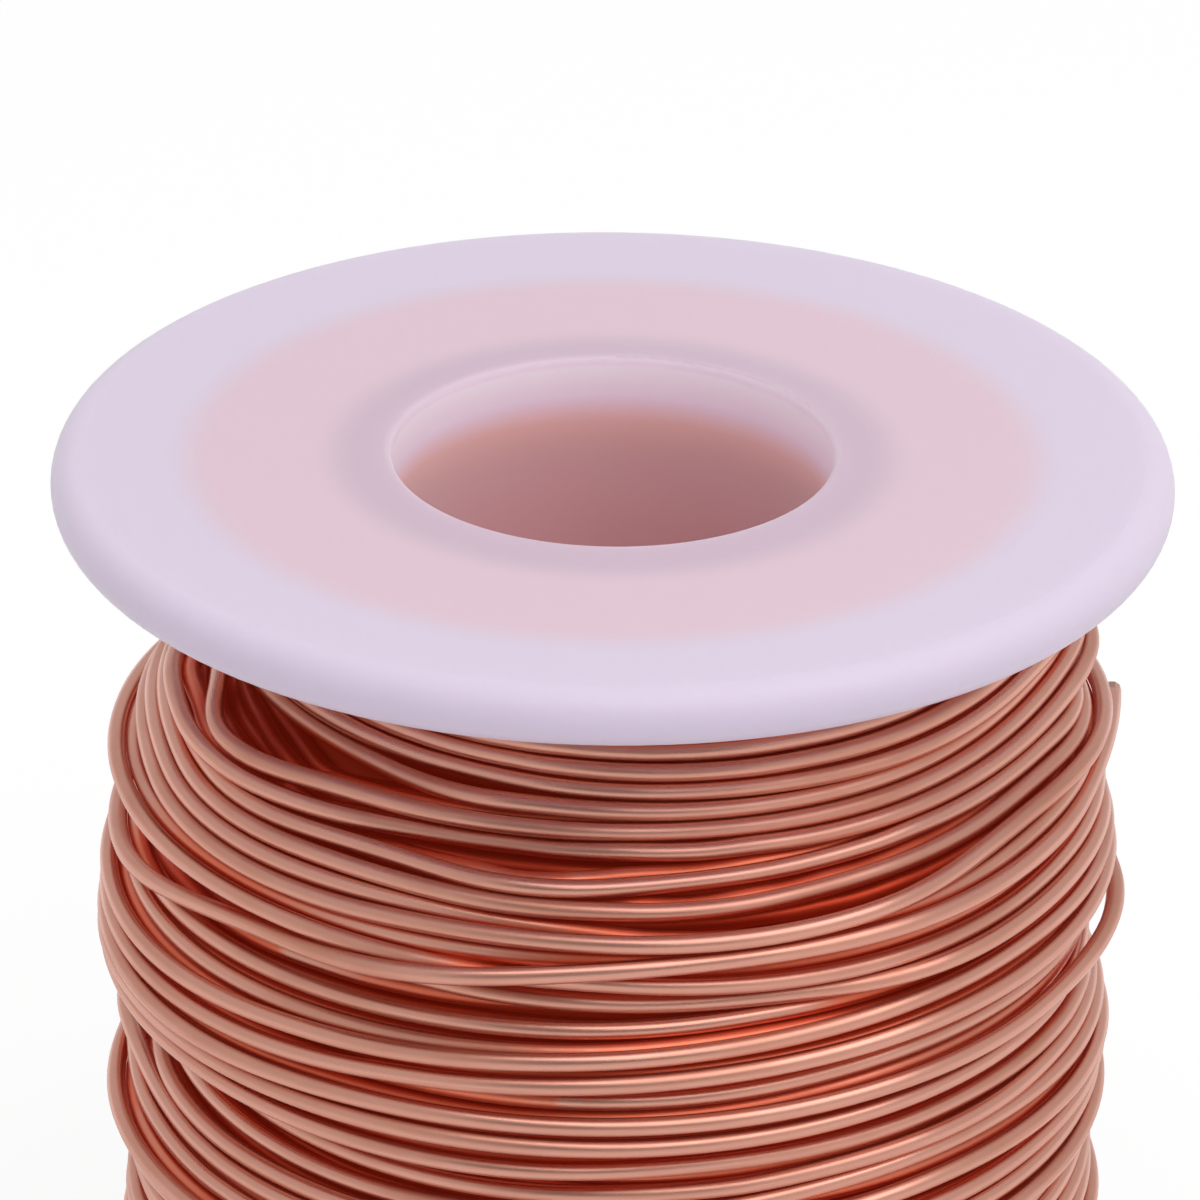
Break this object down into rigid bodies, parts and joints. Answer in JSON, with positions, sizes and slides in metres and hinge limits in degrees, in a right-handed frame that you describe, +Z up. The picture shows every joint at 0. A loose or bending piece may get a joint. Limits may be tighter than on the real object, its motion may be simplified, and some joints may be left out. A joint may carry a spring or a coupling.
{
  "type": "wire spool",
  "caption": "Small flanged plastic spool with rounded rims and an open bore, scramble wound with bare copper wire, one cut end left free.",
  "frame": {"origin": "centre of the lower flange's flat face, on the bore's axis", "axes": "+Z up along the bore, from the lower flange to the upper one; +X towards the side of the wire's free end"},
  "size_m": [0.06, 0.06, 0.06],
  "materials": {
    "spool_plastic": "milky translucent moulded plastic, satin",
    "copper_wire": "bare drawn copper, bright"
  },
  "bodies": {
    "root": {"upper_spool_half": "spool_plastic", "lower_spool_half": "spool_plastic", "inner_wire_layers": "copper_wire", "outer_wire_layer": "copper_wire"}
  },
  "joints": []
}
